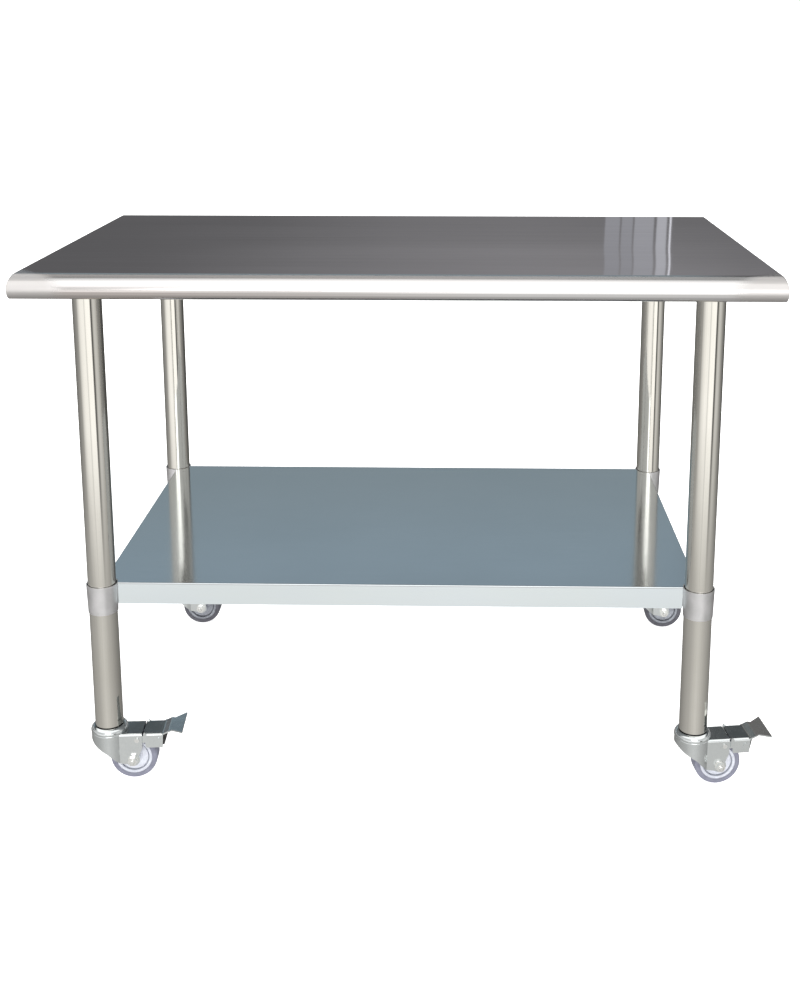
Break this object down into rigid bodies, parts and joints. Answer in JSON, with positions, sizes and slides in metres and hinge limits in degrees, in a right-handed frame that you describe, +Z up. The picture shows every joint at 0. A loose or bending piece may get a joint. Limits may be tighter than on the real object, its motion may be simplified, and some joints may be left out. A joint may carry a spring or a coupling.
{
  "type": "work table",
  "caption": "Stainless steel work table with rolled edges, round tube legs, a sliding undershelf and swivel casters with brakes at the front.",
  "frame": {"origin": "on the floor, under the middle of the table", "axes": "+X along the table's length, -Y towards the front edge with the braked casters, +Z up"},
  "size_m": [1.2474, 0.762, 0.898],
  "materials": {
    "stainless_top": "fine brushed",
    "leg_tube": "satin polished",
    "shelf_steel": "smooth galvanised",
    "galvanized_steel": "galvanised",
    "cast_aluminium": "satin cast",
    "zinc_plate": "bright zinc plate",
    "fastener_steel": "bright zinc plate",
    "wheel_plastic": "moulded satin",
    "tread_rubber": "matt grey non-marking",
    "insert_plastic": "moulded",
    "brake_rubber": "matt"
  },
  "bodies": {
    "root": {"worktop": "stainless_top", "hat_channel_left": "galvanized_steel", "hat_channel_middle": "galvanized_steel", "hat_channel_right": "galvanized_steel", "socket_screws": "fastener_steel", "swivel_balls": "fastener_steel", "leg_front_left": "leg_tube", "leg_socket_front_left": "galvanized_steel", "leg_insert_front_left": "insert_plastic", "caster_stem_front_left": "zinc_plate", "swivel_cap_front_left": "zinc_plate", "leg_front_right": "leg_tube", "leg_socket_front_right": "galvanized_steel", "leg_insert_front_right": "insert_plastic", "caster_stem_front_right": "zinc_plate", "swivel_cap_front_right": "zinc_plate", "leg_rear_left": "leg_tube", "leg_socket_rear_left": "galvanized_steel", "leg_insert_rear_left": "insert_plastic", "caster_stem_rear_left": "zinc_plate", "swivel_cap_rear_left": "zinc_plate", "leg_rear_right": "leg_tube", "leg_socket_rear_right": "galvanized_steel", "leg_insert_rear_right": "insert_plastic", "caster_stem_rear_right": "zinc_plate", "swivel_cap_rear_right": "zinc_plate"},
    "shelf": {"undershelf": "shelf_steel", "shelf_hat_channel": "galvanized_steel", "collar_set_screws": "fastener_steel", "shelf_collar_front_left": "cast_aluminium", "shelf_collar_front_right": "cast_aluminium", "shelf_collar_rear_left": "cast_aluminium", "shelf_collar_rear_right": "cast_aluminium"},
    "caster_front_left": {"caster_fork_front_left": "zinc_plate", "axle_bolt_front_left": "fastener_steel", "axle_bush_front_left": "fastener_steel", "pedal_pins_front_left": "fastener_steel"},
    "wheel_front_left": {"wheel_core_front_left": "wheel_plastic", "tyre_front_left": "tread_rubber"},
    "pedal_front_left": {"brake_pedal_front_left": "zinc_plate", "brake_block_front_left": "brake_rubber"},
    "caster_front_right": {"caster_fork_front_right": "zinc_plate", "axle_bolt_front_right": "fastener_steel", "axle_bush_front_right": "fastener_steel", "pedal_pins_front_right": "fastener_steel"},
    "wheel_front_right": {"wheel_core_front_right": "wheel_plastic", "tyre_front_right": "tread_rubber"},
    "pedal_front_right": {"brake_pedal_front_right": "zinc_plate", "brake_block_front_right": "brake_rubber"},
    "caster_rear_left": {"caster_fork_rear_left": "zinc_plate", "axle_bolt_rear_left": "fastener_steel", "axle_bush_rear_left": "fastener_steel"},
    "wheel_rear_left": {"wheel_core_rear_left": "wheel_plastic", "tyre_rear_left": "tread_rubber"},
    "caster_rear_right": {"caster_fork_rear_right": "zinc_plate", "axle_bolt_rear_right": "fastener_steel", "axle_bush_rear_right": "fastener_steel"},
    "wheel_rear_right": {"wheel_core_rear_right": "wheel_plastic", "tyre_rear_right": "tread_rubber"}
  },
  "joints": [
    {"name": "shelf_slide", "type": "slide", "parent": "root", "child": "shelf", "axis": [0, 0, 1], "range_m": [-0.15, 0.3]},
    {"name": "swivel_front_left", "type": "hinge", "parent": "root", "child": "caster_front_left", "pos_m": [-0.505, -0.305, 0.09], "axis": [0, 0, 1], "continuous": true},
    {"name": "wheel_spin_front_left", "type": "hinge", "parent": "caster_front_left", "child": "wheel_front_left", "pos_m": [-0.4631, -0.30207, 0.04], "axis": [-0.0698, 0.9976, 0], "continuous": true},
    {"name": "brake_front_left", "type": "hinge", "parent": "caster_front_left", "child": "pedal_front_left", "pos_m": [-0.45512, -0.30151, 0.076], "axis": [-0.0698, 0.9976, 0], "range_deg": [0, 15]},
    {"name": "swivel_front_right", "type": "hinge", "parent": "root", "child": "caster_front_right", "pos_m": [0.505, -0.305, 0.09], "axis": [0, 0, 1], "continuous": true},
    {"name": "wheel_spin_front_right", "type": "hinge", "parent": "caster_front_right", "child": "wheel_front_right", "pos_m": [0.54669, -0.29988, 0.04], "axis": [-0.1219, 0.9925, 0], "continuous": true},
    {"name": "brake_front_right", "type": "hinge", "parent": "caster_front_right", "child": "pedal_front_right", "pos_m": [0.55463, -0.29891, 0.076], "axis": [-0.1219, 0.9925, 0], "range_deg": [0, 15]},
    {"name": "swivel_rear_left", "type": "hinge", "parent": "root", "child": "caster_rear_left", "pos_m": [-0.505, 0.305, 0.09], "axis": [0, 0, 1], "continuous": true},
    {"name": "wheel_spin_rear_left", "type": "hinge", "parent": "caster_rear_left", "child": "wheel_rear_left", "pos_m": [-0.463, 0.305, 0.04], "axis": [0, 1, 0], "continuous": true},
    {"name": "swivel_rear_right", "type": "hinge", "parent": "root", "child": "caster_rear_right", "pos_m": [0.505, 0.305, 0.09], "axis": [0, 0, 1], "continuous": true},
    {"name": "wheel_spin_rear_right", "type": "hinge", "parent": "caster_rear_right", "child": "wheel_rear_right", "pos_m": [0.547, 0.305, 0.04], "axis": [0, 1, 0], "continuous": true}
  ]
}
